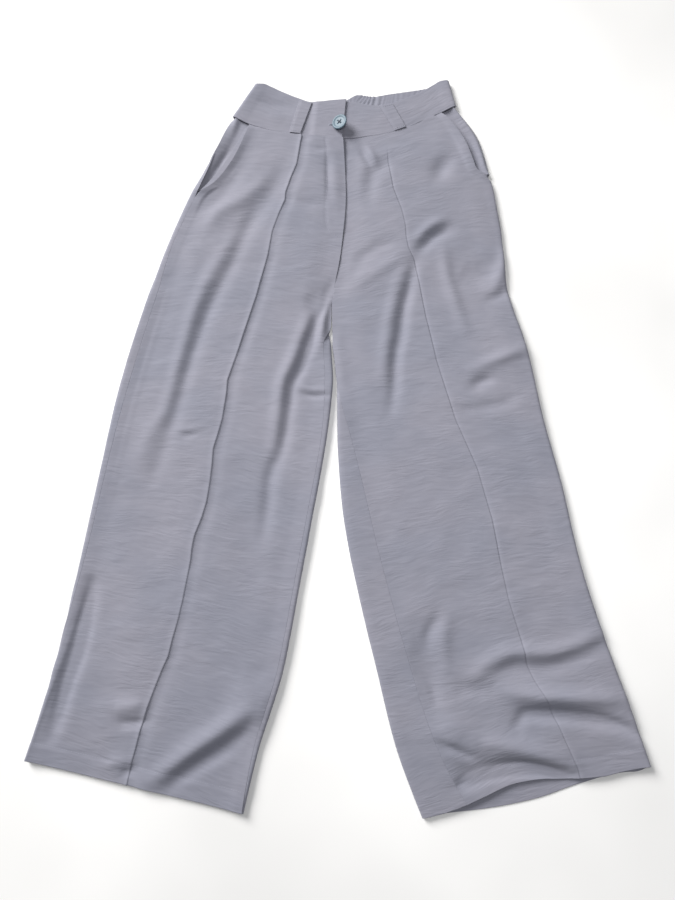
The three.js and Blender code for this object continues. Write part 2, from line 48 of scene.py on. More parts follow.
# ---- Sizes ----
CAD_CLOTH = 1.2 * MM  # wall of the CAD panels
CAD_BAND = 2.4 * MM
CAD_LOOP = 1.8 * MM
CLOTH = 0.8 * MM  # wall of the panels here
BAND = 2.0 * MM
BACK_BAND = 1.0 * MM  # thin, so that its gathers stay above the floor
LOOP = 0.9 * MM
FINE = 3.2 * MM  # step of the refined cloth
LOWEST_TOP = 2.7 * MM  # outer face of a front at the bottom of its deepest trough
LOFT = 2.4 * MM  # further height of a front over its back, in the middle of the panel
HEM = 24 * MM  # depth of the turned hem
FOLD_RELIEF = 1.25  # how much stronger the creases are than their tables say
SHADE_SHIFT = (8, -14)  # millimetres from where a crease looks darkest or lightest to the crease
EDGE_HOLD = 0.5 * MM  # how far inside an edge a wall's supporting row lies
SEAM_CLOSE = 0.44 * MM  # how far each side of the waist seam moves to the other


# ---- Reading a CAD wall back as a grid ----
def merged_mesh(node):
    """A node's points without doubles, and its triangles."""
    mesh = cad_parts[node].data
    points = np.empty(len(mesh.vertices) * 3, np.float32)
    mesh.vertices.foreach_get("co", points)
    points = points.reshape(-1, 3).astype(float)
    mesh.calc_loop_triangles()
    triangles = np.empty(len(mesh.loop_triangles) * 3, np.int32)
    mesh.loop_triangles.foreach_get("vertices", triangles)
    _, first, same = np.unique(
        np.round(points, 5), axis=0, return_index=True, return_inverse=True
    )
    return points[first], same.reshape(-1)[triangles].reshape(-1, 3)


def outer_sheet(points, triangles, thickness, outside):
    """The triangles of the wall's face that points up (outside 1) or down (-1).

    The rim's triangles each have one edge as long as the wall is thick, and no others have.
    """
    corners = points[triangles]
    edges = np.linalg.norm(corners - np.roll(corners, 1, axis=1), axis=2)
    faces = triangles[np.all(np.abs(edges - thickness) > 2e-6, axis=1)]
    group = np.arange(len(points))
    while True:
        lowest = group[faces].min(axis=1)
        joined = group.copy()
        for k in range(3):
            np.minimum.at(joined, faces[:, k], lowest)
        if np.array_equal(joined, group):
            break
        group = joined
    label = group[faces[:, 0]]
    a, b, c = (points[faces[:, k]] for k in range(3))
    up = np.cross(b - a, c - a)[:, 2]
    best = max(np.unique(label), key=lambda g: outside * up[label == g].sum())
    return faces[label == best]


def read_grid(node, rows, columns, thickness, outside=1):
    """A wall's outer face as an array of rows x columns x 3, its first row nearest the waist."""
    points, triangles = merged_mesh(node)
    faces = outer_sheet(points, triangles, thickness, outside)
    thirds, after, count = {}, {}, {}
    for face in faces.tolist():
        for k in range(3):
            a, b, c = face[k], face[(k + 1) % 3], face[(k + 2) % 3]
            thirds.setdefault(frozenset((a, b)), []).append(c)
            after[(a, b)] = True
            count[a] = count.get(a, 0) + 1
    border = {a: b for a, b in after if (b, a) not in after}
    loop = [next(iter(border))]
    while border[loop[-1]] != loop[0]:
        loop.append(border[loop[-1]])
    # A grid's first corner and its last belong to two triangles, its other two to one.
    doubles = [k for k, v in enumerate(loop) if count[v] == 2]
    start = max(doubles, key=lambda k: points[loop[k], 1])

    def side(direction, length):
        return [loop[(start + direction * k) % len(loop)] for k in range(length)]

    ways = [d for d in (1, -1) if count[side(d, columns)[-1]] == 1]
    along = max(ways, key=lambda d: points[side(d, columns)[-1], 1])
    grid, first_column = [side(along, columns)], side(-along, rows)
    seen = set(grid[0])
    for i in range(1, rows):
        row = [first_column[i]]
        for pair in zip(grid[-1], grid[-1][1:]):
            row.append(next(v for v in thirds[frozenset(pair)] if v not in seen))
        seen.update(row)
        grid.append(row)
    return points[np.array(grid)]


# ---- Refining a grid ----
def refine_columns(points, steps):
    """The grid with steps[j] parts between columns j and j + 1, on curves that never overshoot."""
    gaps = np.maximum(np.linalg.norm(np.diff(points, axis=1), axis=2), 1e-6)[..., None]
    rates = np.diff(points, axis=1) / gaps
    before, after = rates[:, :-1], rates[:, 1:]
    near, far = gaps[:, :-1], gaps[:, 1:]
    a, b = 2 * far + near, far + 2 * near
    same_way = before * after > 0
    safe_before = np.where(same_way, before, 1)
    safe_after = np.where(same_way, after, 1)
    middle = np.where(same_way, (a + b) / (a / safe_before + b / safe_after), 0)
    slopes = np.concatenate([rates[:, :1], middle, rates[:, -1:]], axis=1)
    parts = []
    for j, count in enumerate(steps):
        t = (np.arange(count) / count)[None, :, None]
        p0, p1 = points[:, j : j + 1], points[:, j + 1 : j + 2]
        m0, m1 = slopes[:, j : j + 1] * gaps[:, j : j + 1], slopes[:, j + 1 : j + 2] * gaps[:, j : j + 1]
        rise = t * t * (3 - 2 * t)
        parts.append(p0 + (p1 - p0) * rise + m0 * t * (1 - t) ** 2 - m1 * t * t * (1 - t))
    parts.append(points[:, -1:])
    return np.concatenate(parts, axis=1)


def refine_rows(points, steps):
    return refine_columns(points.transpose(1, 0, 2), steps).transpose(1, 0, 2)


def parts_for(points, step, axis, least=1):
    """How many parts each stretch between neighbours takes, to be about step long."""
    lengths = np.linalg.norm(np.diff(points, axis=axis), axis=2).mean(axis=1 - axis)
    return [max(least, math.ceil(length / step)) for length in lengths]


def refine(points, step=FINE):
    points = refine_rows(points, parts_for(points, step, 0))
    return refine_columns(points, parts_for(points, step, 1))


def lengths_along(points, axis):
    """Distance of each grid point from the first one, along the grid."""
    gaps = np.linalg.norm(np.diff(points, axis=axis), axis=2)
    pad = [(0, 0), (0, 0)]
    pad[axis] = (1, 0)
    return np.cumsum(np.pad(gaps, pad), axis=axis)


# ---- Soft forms ----
def smooth_step(value, start, end):
    t = np.clip((value - start) / (end - start), 0, 1)
    return t * t * (3 - 2 * t)


def bump(distance, width):
    return np.exp(-((distance / width) ** 2))


def soft_noise(x, y, size_x, size_y, seed):
    """Smooth noise from -1 to 1, with swells of about those sizes."""
    lattice = np.random.default_rng(seed).uniform(-1, 1, (64, 64))
    u, v = x / size_x + 31.7, y / size_y + 17.3
    iu, iv = np.floor(u).astype(int), np.floor(v).astype(int)
    fu, fv = u - iu, v - iv
    fu, fv = fu * fu * (3 - 2 * fu), fv * fv * (3 - 2 * fv)

    def at(du, dv):
        return lattice[(iu + du) % 64, (iv + dv) % 64]

    low = at(0, 0) * (1 - fu) + at(1, 0) * fu
    high = at(0, 1) * (1 - fu) + at(1, 1) * fu
    return low * (1 - fv) + high * fv


def spline_points(points, parts=8):
    """A smooth line through given points."""
    grid = np.array(points, float)[None]
    grid = np.concatenate([grid, np.zeros((1, grid.shape[1], 1))], axis=2)
    return refine_columns(grid, [parts] * (grid.shape[1] - 1))[0, :, :2]


def distance_to_line(x, y, line):
    """Distance to a line of points, and how far along it from 0 to 1."""
    best = np.full(x.shape, np.inf)
    place = np.zeros(x.shape)
    lengths = np.linalg.norm(np.diff(line, axis=0), axis=1)
    starts = np.concatenate([[0], np.cumsum(lengths)])
    for k, (a, b) in enumerate(zip(line, line[1:])):
        d = b - a
        t = np.clip(((x - a[0]) * d[0] + (y - a[1]) * d[1]) / max(d @ d, 1e-12), 0, 1)
        away = np.hypot(x - a[0] - t * d[0], y - a[1] - t * d[1])
        nearer = away < best
        best = np.where(nearer, away, best)
        place = np.where(nearer, (starts[k] + t * lengths[k]) / starts[-1], place)
    return best, place


# Creases of the fronts in millimetres: rise (ridges positive, troughs negative), half width, and
# the points of its path before SHADE_SHIFT moves it. Each crease fades out at its ends.
RIGHT_CREASES = [
    # below the pocket and the waist
    (-2.2, 12, [(-152, 397), (-178, 355), (-203, 329), (-219, 321)]),
    (2.3, 11, [(-114, 382), (-151, 343), (-188, 321), (-200, 297)]),
    (-2.4, 14, [(-81, 417), (-103, 366), (-126, 325), (-150, 295), (-168, 297)]),
    (-1.4, 4, [(-53, 434), (-39, 427), (-24, 428)]),
    (-1.6, 9, [(-71, 345), (-48, 337), (-24, 337)]),
    (1.3, 9, [(-13, 417), (-9, 366), (-9, 325)]),
    (-1.3, 5, [(-22, 420), (-22, 385), (-20, 345)]),
    # down the outer thigh
    (-3.0, 11, [(-132, 331), (-160, 250), (-198, 164), (-222, 85), (-237, 20), (-250, -30), (-265, -79)]),
    (2.8, 11, [(-158, 290), (-209, 187), (-236, 80), (-250, 20), (-273, -19), (-280, -45)]),
    (1.4, 4, [(-236, -5), (-218, -9), (-195, -3)]),
    (-1.6, 4, [(-228, -18), (-205, -14)]),
    # from the crotch down the inner thigh
    (-3.2, 6, [(-10, 194), (-17, 170), (-20, 142), (-19, 121)]),
    (3.4, 7, [(-17, 189), (-30, 151), (-34, 110)]),
    (-4.2, 8, [(-17, 210), (-37, 156), (-50, 116), (-62, 81), (-74, 56), (-76, 31), (-85, -30)]),
    (-3.0, 9, [(-80, -9), (-85, -30), (-102, -80), (-105, -119), (-110, -158)]),
    (3.6, 10, [(-45, 171), (-70, 101), (-88, 51), (-93, 0), (-97, -40)]),
    (-2.0, 4, [(-64, 45), (-38, 41), (-18, 42)]),
    (1.4, 4, [(-64, 53), (-38, 49), (-20, 50)]),
    # at the hem
    (-6.8, 10, [(-340, -220), (-345, -257), (-354, -309), (-366, -350), (-374, -388), (-382, -416)]),
    (2.8, 9, [(-301, -380), (-284, -380), (-263, -376)]),
    (-3.2, 6, [(-296, -398), (-279, -400), (-258, -398)]),
    (2.0, 8, [(-309, -451), (-291, -448), (-276, -451)]),
    (-2.6, 7, [(-288, -465), (-280, -460), (-269, -456)]),
    (5.6, 13, [(-254, -476), (-222, -453), (-186, -427), (-145, -400), (-124, -386)]),
    (-5.0, 10, [(-225, -478), (-209, -463), (-185, -447), (-154, -429), (-124, -404)]),
]
LEFT_CREASES = [
    # below the waist and the pocket
    (-4.0, 14, [(166, 420), (150, 396), (140, 376)]),
    (-2.8, 12, [(76, 412), (43, 381), (38, 335)]),
    (-2.2, 6, [(27, 430), (42, 400)]),
    (1.8, 6, [(36, 434), (52, 404)]),
    # hip and thigh
    (-1.8, 10, [(85, 284), (35, 257), (19, 235)]),
    (1.8, 10, [(90, 257), (53, 230), (19, 211)]),
    (-4.0, 9, [(112, 259), (131, 284), (161, 299)]),
    (3.2, 8, [(108, 276), (127, 296), (150, 312)]),
    (2.6, 9, [(149, 269), (152, 228), (164, 180), (177, 140)]),
    (-2.8, 17, [(175, 233), (197, 222), (220, 240)]),
    (2.8, 9, [(242, 264), (231, 226), (223, 202)]),
    (-2.4, 8, [(209, 183), (228, 192), (244, 202)]),
    (-4.6, 8, [(107, 245), (98, 209), (88, 168), (83, 131), (76, 99), (73, 53), (68, 19)]),
    (2.2, 9, [(88, 235), (72, 180), (62, 120), (55, 60)]),
    (3.0, 9, [(184, 80), (221, 94), (266, 112)]),
    (-3.0, 8, [(183, 53), (198, 62), (214, 67)]),
    (-1.8, 8, [(164, 21), (219, 28), (252, 42)]),
    # at the hem
    (-3.8, 7, [(126, -266), (113, -290), (111, -313), (115, -346), (122, -372)]),
    (2.2, 10, [(142, -262), (132, -300), (132, -340)]),
    (4.6, 11, [(168, -346), (198, -322), (231, -311), (265, -312), (300, -306), (348, -284)]),
    (-3.0, 12, [(198, -334), (230, -329), (253, -331), (276, -327), (311, -316), (352, -296)]),
    (-2.4, 13, [(145, -359), (168, -356), (190, -361)]),
    (6.5, 11, [(211, -361), (251, -366), (297, -368), (363, -371)]),
    (-8.0, 8, [(227, -401), (241, -389), (273, -389), (318, -394), (351, -400), (382, -413)]),
    (6.5, 13, [(177, -424), (226, -431), (270, -443), (292, -450)]),
    (-10.5, 8, [(153, -475), (164, -470), (193, -460), (238, -455), (269, -459), (293, -466)]),
    (-3.8, 6, [(123, -425), (143, -432), (169, -444)]),
]
# The waistband sags between its edges near its right end, and stands up below that.
BAND_CREASES = [
    (-1.8, 9, [(-134, 512), (-104, 504), (-74, 494)]),
    (0.8, 9, [(-136, 494), (-110, 484), (-88, 478)]),
]


def crease_height(x, y, creases):
    """Height of creases, each moved by SHADE_SHIFT from the path in its table."""
    height = np.zeros(x.shape)
    for rise, width, points in creases:
        line = (spline_points(points) + SHADE_SHIFT) * MM
        away, place = distance_to_line(x, y, line)
        fade = np.sin(np.pi * np.clip(place * 0.9 + 0.05, 0, 1)) ** 0.7
        height += rise * MM * fade * bump(away, width * MM)
    return FOLD_RELIEF * height


def swells(x, y, seed):
    """Low, uneven swells of cloth that lies on cloth."""
    broad = soft_noise(x, y, 0.07, 0.13, seed)
    small = soft_noise(x, y, 0.032, 0.026, seed + 1)
    puckers = soft_noise(x, y, 0.028, 0.0075, seed + 2)
    return (1.3 * broad + 0.5 * small + 0.2 * puckers) * MM


# ---- Meshes ----
def new_object(name, points, faces, uv=None):
    mesh = bpy.data.meshes.new(name)
    faces = np.asarray(faces, np.int32)
    mesh.vertices.add(len(points))
    mesh.vertices.foreach_set("co", np.asarray(points, np.float32).ravel())
    mesh.loops.add(faces.size)
    mesh.loops.foreach_set("vertex_index", faces.ravel())
    mesh.polygons.add(len(faces))
    mesh.polygons.foreach_set("loop_start", np.arange(0, faces.size, faces.shape[1], dtype=np.int32))
    mesh.polygons.foreach_set("use_smooth", np.ones(len(faces), bool))
    if uv is not None:
        layer = mesh.uv_layers.new(name="cloth")
        layer.uv.foreach_set("vector", uv[faces.ravel()].astype(np.float32).ravel())
    mesh.update(calc_edges=True)
    mesh.validate()
    made = bpy.data.objects.new(name, mesh)
    bpy.context.scene.collection.objects.link(made)
    return made


def grid_normals(points, outside):
    across = np.gradient(points, axis=1)
    down = np.gradient(points, axis=0)
    normal = np.cross(across, down)
    normal /= np.maximum(np.linalg.norm(normal, axis=2, keepdims=True), 1e-12)
    return normal * (outside * np.sign(normal[..., 2].sum()))


def hold_edges(grid):
    """A further row or column just inside each edge, so that the rim's shading stays on the rim."""
    for axis in (0, 1):
        lines = np.moveaxis(grid, axis, 0)
        for edge, beside, place in ((0, 1, 1), (-1, -2, -1)):
            step = lines[beside] - lines[edge]
            gap = np.linalg.norm(step[..., :3], axis=-1, keepdims=True)
            added = lines[edge] + step * np.minimum(EDGE_HOLD / np.maximum(gap, 1e-9), 0.5)
            lines = np.insert(lines, place, added, axis=0)
        grid = np.moveaxis(lines, 0, axis)
    return grid


def shell(name, outer, thickness, uv, outside=1):
    """A closed wall behind an outer face, with a rounded rim."""
    held = hold_edges(np.concatenate([outer, uv], axis=-1))
    outer, uv = held[..., :3], held[..., 3:]
    rows, columns, _ = outer.shape
    inner = outer - grid_normals(outer, outside) * thickness
    count = rows * columns
    index = np.arange(count).reshape(rows, columns)
    quads = np.stack([index[:-1, :-1], index[1:, :-1], index[1:, 1:], index[:-1, 1:]], axis=-1)
    quads = quads.reshape(-1, 4)
    rim = np.concatenate([index[:-1, 0], index[-1, :-1], index[:0:-1, -1], index[0, :0:-1]])
    beyond = outer * 1
    beyond[0], beyond[-1] = 2 * outer[0] - outer[1], 2 * outer[-1] - outer[-2]
    beyond[:, 0] += outer[:, 0] - outer[:, 1]
    beyond[:, -1] += outer[:, -1] - outer[:, -2]
    flat_outer, flat_inner = outer.reshape(-1, 3), inner.reshape(-1, 3)
    away = (beyond.reshape(-1, 3) - flat_outer)[rim]
    away /= np.maximum(np.linalg.norm(away, axis=1, keepdims=True), 1e-12)
    middle = (flat_outer[rim] + flat_inner[rim]) / 2 + away * thickness * 0.3
    following = np.roll(rim, -1)
    place = 2 * count + np.arange(len(rim))
    next_place = np.roll(place, -1)
    rim_upper = np.stack([following, rim, place, next_place], axis=-1)
    rim_lower = np.stack([next_place, place, rim + count, following + count], axis=-1)
    faces = np.concatenate([quads, quads[:, ::-1] + count, rim_upper, rim_lower])
    points = np.concatenate([flat_outer, flat_inner, middle])
    # The faces point out where the first quad's normal is on the outer side.
    a, b, _, d = points[quads].transpose(1, 0, 2)
    if (np.cross(b - a, d - a).sum(axis=0) * outside)[2] < 0:
        faces = faces[:, ::-1]
    flat_uv = uv.reshape(-1, 2)
    return new_object(name, points, faces, np.concatenate([flat_uv, flat_uv, flat_uv[rim]]))


def cloth_uv(points, offset=(0, 0)):
    """Metres across and along the cloth, for its weave and crinkle."""
    across = lengths_along(points, 1)
    across = across - across[:, across.shape[1] // 2][:, None]
    along = lengths_along(points, 0)
    along = np.repeat(along.mean(axis=1)[:, None], points.shape[1], axis=1)
    return np.stack([across + offset[0], -along + offset[1]], axis=-1)


def tube(points, radius, sides=8):
    """Points and quads of a thread along a line, rounded off to a point at both ends."""
    points = np.asarray(points, float)
    tangents = np.gradient(points, axis=0)
    tangents /= np.linalg.norm(tangents, axis=1, keepdims=True)
    across = np.cross(tangents, (0.31, 0.42, 0.85))
    across /= np.linalg.norm(across, axis=1, keepdims=True)
    above = np.cross(tangents, across)
    taper = np.ones(len(points))
    taper[[0, -1]] = 0.15
    turn = np.linspace(0, 2 * np.pi, sides, endpoint=False)
    around = across[:, None] * np.cos(turn)[:, None] + above[:, None] * np.sin(turn)[:, None]
    rings = points[:, None] + around * (radius * taper)[:, None, None]
    faces = []
    for k in range(len(points) - 1):
        for i in range(sides):
            j = (i + 1) % sides
            faces.append([k * sides + i, k * sides + j, (k + 1) * sides + j, (k + 1) * sides + i])
    return rings.reshape(-1, 3), faces


def join_parts(parts):
    """One set of points and quads out of several."""
    points, faces, count = [], [], 0
    for part_points, part_faces in parts:
        points.append(part_points)
        faces.extend((np.array(part_faces) + count).tolist())
        count += len(part_points)
    return np.concatenate(points), faces


def surface_height(shape, x, y):
    """Height of a grid's outer face near a point."""
    flat = shape.reshape(-1, 3)
    return flat[np.hypot(flat[:, 0] - x, flat[:, 1] - y).argmin(), 2]


# ---- Materials ----
WANDER = 22 * MM  # how far the crinkles drift off their straight lines


def node_maker(material):
    material.use_nodes = True
    tree = material.node_tree
    tree.nodes.clear()

    def add(kind, **values):
        node = tree.nodes.new(kind)
        for key, value in values.items():
            if hasattr(node, key):
                setattr(node, key, value)
            else:
                node.inputs[key.replace("_", " ")].default_value = value
        return node

    def join(source, target):
        tree.links.new(source, target)

    return add, join


def crepe_material():
    """Lilac-grey crinkle crepe: fine crosswise crinkles, a soft sheen and a little mottling."""
    material = bpy.data.materials.new("crepe")
    add, join = node_maker(material)
    output = add("ShaderNodeOutputMaterial")
    shader = add("ShaderNodeBsdfPrincipled")
    shader.inputs["Roughness"].default_value = 0.78
    shader.inputs["Specular IOR Level"].default_value = 0.25
    shader.inputs["Sheen Weight"].default_value = 0.25
    shader.inputs["Sheen Roughness"].default_value = 0.45
    join(shader.outputs["BSDF"], output.inputs["Surface"])
    place = add("ShaderNodeUVMap", uv_map="cloth")

    def noise(scale_x, scale_y, detail, distortion=0.0, source=place.outputs["UV"]):
        mapping = add("ShaderNodeMapping")
        mapping.inputs["Scale"].default_value = (scale_x, scale_y, 1)
        join(source, mapping.inputs["Vector"])
        made = add("ShaderNodeTexNoise")
        made.noise_dimensions = "2D"
        made.inputs["Scale"].default_value = 1
        made.inputs["Detail"].default_value = detail
        made.inputs["Roughness"].default_value = 0.5
        made.inputs["Distortion"].default_value = distortion
        join(mapping.outputs["Vector"], made.inputs["Vector"])
        return made.outputs["Fac"]

    wander = add("ShaderNodeMath", operation="MULTIPLY_ADD")
    wander.inputs[1].default_value = WANDER
    wander.inputs[2].default_value = -WANDER / 2
    join(noise(9, 14, 2.0), wander.inputs[0])
    drift = add("ShaderNodeCombineXYZ")
    join(wander.outputs[0], drift.inputs["Y"])
    drifted = add("ShaderNodeVectorMath", operation="ADD")
    join(place.outputs["UV"], drifted.inputs[0])
    join(drift.outputs["Vector"], drifted.inputs[1])
    wavy = drifted.outputs["Vector"]

    def patchy(height, where):
        """A height that is nearly even in some patches of the cloth."""
        amount = add("ShaderNodeMapRange")
        amount.inputs["From Min"].default_value = 0.4
        amount.inputs["From Max"].default_value = 0.62
        amount.inputs["To Min"].default_value = 0.25
        join(where, amount.inputs["Value"])
        product = add("ShaderNodeMath", operation="MULTIPLY")
        join(height, product.inputs[0])
        join(amount.outputs["Result"], product.inputs[1])
        return product.outputs[0]

    crinkle = patchy(noise(48, 270, 2.0, 0.3, wavy), noise(22, 30, 1.0))
    ripple = patchy(noise(24, 105, 1.5, 0.3, wavy), noise(13, 17, 1.0))
    weave = noise(1500, 1500, 1.0)
    patches = noise(7, 9, 3.0)
    streaks = noise(44, 270, 2.0, 0.0, wavy)

    mottle = add("ShaderNodeValToRGB")
    mottle.color_ramp.elements[0].position = 0.36
    mottle.color_ramp.elements[0].color = (0.236, 0.242, 0.297, 1)
    mottle.color_ramp.elements[1].position = 0.66
    mottle.color_ramp.elements[1].color = (0.260, 0.260, 0.313, 1)
    join(patches, mottle.inputs["Fac"])
    fine = add("ShaderNodeValToRGB")
    fine.color_ramp.elements[0].position = 0.35
    fine.color_ramp.elements[0].color = (0.965, 0.965, 0.97, 1)
    fine.color_ramp.elements[1].position = 0.65
    fine.color_ramp.elements[1].color = (1.02, 1.02, 1.02, 1)
    join(streaks, fine.inputs["Fac"])
    colour = add("ShaderNodeMix", data_type="RGBA", blend_type="MULTIPLY")
    colour.inputs["Factor"].default_value = 1
    join(mottle.outputs["Color"], colour.inputs[6])
    join(fine.outputs["Color"], colour.inputs[7])
    join(colour.outputs[2], shader.inputs["Base Color"])

    normal = None
    for height, distance, strength in ((ripple, 1.6, 0.45), (crinkle, 1.0, 0.5), (weave, 0.06, 0.35)):
        bumped = add("ShaderNodeBump")
        bumped.inputs["Strength"].default_value = strength
        bumped.inputs["Distance"].default_value = distance * MM
        join(height, bumped.inputs["Height"])
        if normal is not None:
            join(normal, bumped.inputs["Normal"])
        normal = bumped.outputs["Normal"]
    join(normal, shader.inputs["Normal"])
    return material


def plain_material(name, colour, roughness, scale, depth, **sockets):
    """A material with a fine grain of its own."""
    material = bpy.data.materials.new(name)
    add, join = node_maker(material)
    output = add("ShaderNodeOutputMaterial")
    shader = add("ShaderNodeBsdfPrincipled")
    shader.inputs["Roughness"].default_value = roughness
    for socket, value in sockets.items():
        shader.inputs[socket.replace("_", " ")].default_value = value
    join(shader.outputs["BSDF"], output.inputs["Surface"])
    place = add("ShaderNodeTexCoord")
    grain = add("ShaderNodeTexNoise")
    grain.inputs["Scale"].default_value = scale
    grain.inputs["Detail"].default_value = 3
    join(place.outputs["Object"], grain.inputs["Vector"])
    ramp = add("ShaderNodeValToRGB")
    ramp.color_ramp.elements[0].position = 0.3
    ramp.color_ramp.elements[0].color = (*[c * 0.88 for c in colour], 1)
    ramp.color_ramp.elements[1].position = 0.7
    ramp.color_ramp.elements[1].color = (*[min(c * 1.1, 1) for c in colour], 1)
    join(grain.outputs["Fac"], ramp.inputs["Fac"])
    join(ramp.outputs["Color"], shader.inputs["Base Color"])
    bumped = add("ShaderNodeBump")
    bumped.inputs["Strength"].default_value = 0.4
    bumped.inputs["Distance"].default_value = depth
    join(grain.outputs["Fac"], bumped.inputs["Height"])
    join(bumped.outputs["Normal"], shader.inputs["Normal"])
    return material


CREPE = crepe_material()
THREAD = plain_material("thread", (0.30, 0.31, 0.38), 0.6, 900, 0.1 * MM, Sheen_Weight=0.2)
# Dark thread of the button; the same material is also painted shade in the buttonhole's slit.
DARK_THREAD_AND_SLIT_SHADE = plain_material("button_thread", (0.05, 0.06, 0.09), 0.6, 900, 0.1 * MM)
PEARL = plain_material("pearl", (0.13, 0.19, 0.24), 0.5, 160, 0.02 * MM)
TAPE = plain_material("zip_tape", (0.27, 0.28, 0.33), 0.7, 1200, 0.1 * MM)


def finish_piece(piece, material, slot, *nodes):
    piece.data.materials.append(material)
    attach(piece, "root")
    if nodes:
        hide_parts(*nodes)


# ---- Camera, floor and light ----
CAMERA_PLACE = (0, -0.2157, 0.9396)
CAMERA_TARGET = (0, -0.0507, 0.004)
CAMERA_LENS = 27.04  # millimetres, for 36 mm along the picture's longer side
FLOOR_HALF = 6.0
FLOOR_DROP = 0.5 * MM  # how far the floor lies below the cloth


def add_camera():
    """Above the garment and a little towards its hems, tilted 10 degrees."""
    data = bpy.data.cameras.new("camera")
    data.sensor_width = 36
    data.lens = CAMERA_LENS
    data.clip_start, data.clip_end = 0.05, 20
    camera = bpy.data.objects.new("camera", data)
    bpy.context.scene.collection.objects.link(camera)
    camera.location = CAMERA_PLACE
    target = Vector(CAMERA_TARGET)
    camera.rotation_euler = (target - camera.location).to_track_quat("-Z", "Y").to_euler()
    bpy.context.scene.camera = camera


def add_light(name, place, target, size, power, colour):
    data = bpy.data.lights.new(name, "AREA")
    data.shape = "DISK"
    data.size = size
    data.energy = power
    data.color = colour
    light = bpy.data.objects.new(name, data)
    light.location = place
    aim = Vector(target) - Vector(place)
    light.rotation_euler = aim.to_track_quat("-Z", "Y").to_euler()
    bpy.context.scene.collection.objects.link(light)


def add_stage():
    corners = np.array([(-1, -1, 0), (1, -1, 0), (1, 1, 0), (-1, 1, 0)]) * FLOOR_HALF
    floor = new_object("floor", corners - (0, 0, FLOOR_DROP), [[0, 1, 2, 3]])
    floor.data.materials.append(plain_material("floor", (0.92, 0.92, 0.92), 0.9, 2, 0.0))
    add_light(
        "key", place=(-3.4, 3.3, 2.7), target=(0, 0, 0), size=2.8, power=470, colour=(1.0, 0.985, 0.96)
    )
    add_light(
        "overhead", place=(0.05, -0.05, 1.25), target=(0.05, -0.05, 0), size=0.3, power=5.5,
        colour=(1.0, 0.99, 0.98),
    )
    world = bpy.data.worlds.new("studio")
    world.use_nodes = True
    world.node_tree.nodes["Background"].inputs["Color"].default_value = (0.95, 0.97, 1, 1)
    world.node_tree.nodes["Background"].inputs["Strength"].default_value = 0.2
    bpy.context.scene.world = world
    bpy.context.scene.view_settings.view_transform = "Standard"


add_camera()
add_stage()


# ---- Legs ----
LEG_ROWS, FRONT_COLUMNS, BACK_COLUMNS = 27, 16, 15
CREST = 9  # column of a front that is its pin tuck's crest
CLOSED_FROM = 12  # first row at which a leg is a closed tube
TOP_COLUMNS = slice(4, 12)  # columns of a front, without the crest, that lie clear of its edges
FRONT_ROW_PARTS, BACK_ROW_PARTS = 12, 8  # parts between two rows of the CAD
TUCK_PARTS = 10  # parts between the two columns beside a tuck's crest
BACK_STEP = 4.5 * MM  # longest step between a back's columns, about


def level_top(grid):
    """The CAD front without its coarse folds: each inner column takes its middle height."""
    grid = grid.copy()
    top = grid[:, TOP_COLUMNS, 2]
    open_level = np.median(top[:CLOSED_FROM], axis=0)
    closed_level = np.median(top[CLOSED_FROM:], axis=0)
    share = smooth_step(np.arange(LEG_ROWS), CLOSED_FROM - 4, CLOSED_FROM + 2)[:, None]
    grid[:, TOP_COLUMNS, 2] = open_level * (1 - share) + closed_level * share
    return grid


def top_share(points):
    """1 on the top layer, falling to 0 down an edge's roll."""
    return smooth_step(points[..., 2], 2.5 * MM, 5.0 * MM)


def keep_above(height, floor):
    """Height, eased so that it never goes below the floor."""
    ease = 0.35 * MM
    return floor + ease * np.logaddexp(0, (height - floor) / ease)


# Pin tucks: height, negative where the tuck shows as a groove; half widths of its side towards -X
# and its side towards +X; depth of the hollow beside it; and how far below the waist it is whole.
TUCKS = {
    "right": {"height": 1.0 * MM, "soft": 3.6 * MM, "steep": 0.5 * MM, "hollow": 1.2 * MM, "from": 0},
    "left": {"height": -0.7 * MM, "soft": 0.5 * MM, "steep": 2.6 * MM, "hollow": 0, "from": 60 * MM},
}
# The lines that the tucks wander along, waist to hem, in millimetres.
TUCK_LINES = {
    "right": [
        (-56, 439), (-57, 423), (-62, 389), (-70, 368), (-78, 343), (-79, 330), (-88, 307), (-97, 280),
        (-103, 241), (-119, 176), (-146, 85), (-157, 50), (-158, 30), (-163, -7), (-168, -27),
        (-174, -49), (-175, -71), (-177, -95), (-181, -124), (-187, -146), (-196, -170), (-199, -188),
        (-200, -203), (-209, -257), (-214, -282), (-220, -305), (-225, -329), (-233, -348),
        (-242, -372), (-250, -396), (-257, -420), (-263, -447), (-269, -470), (-272, -490),
    ],
    "left": [
        (74, 439), (77, 393), (84, 349), (96, 314), (101, 289), (102, 269), (105, 252), (113, 235),
        (120, 197), (128, 147), (136, 110), (142, 80), (156, 30), (167, -8), (195, -77), (213, -148),
        (223, -213), (231, -257), (245, -308), (252, -346), (273, -383), (279, -394), (293, -426),
        (311, -466), (315, -483),
    ],
}
TUCK_SHIFT = 7 * MM  # most that a tuck is moved from its place in the CAD
TUCK_PULL = 30 * MM  # how far to its sides the cloth moves with it
TUCK_HOLLOW = 7 * MM  # from a tuck to the hollow beside it, and the hollow's half width


def tuck_shift(crest, line):
    """How far each row's crest moves sideways, to lie on its line."""
    x, y = np.array(line[::-1]).T * MM
    return np.clip(np.interp(crest[:, 1], y, x) - crest[:, 0], -TUCK_SHIFT, TUCK_SHIFT)


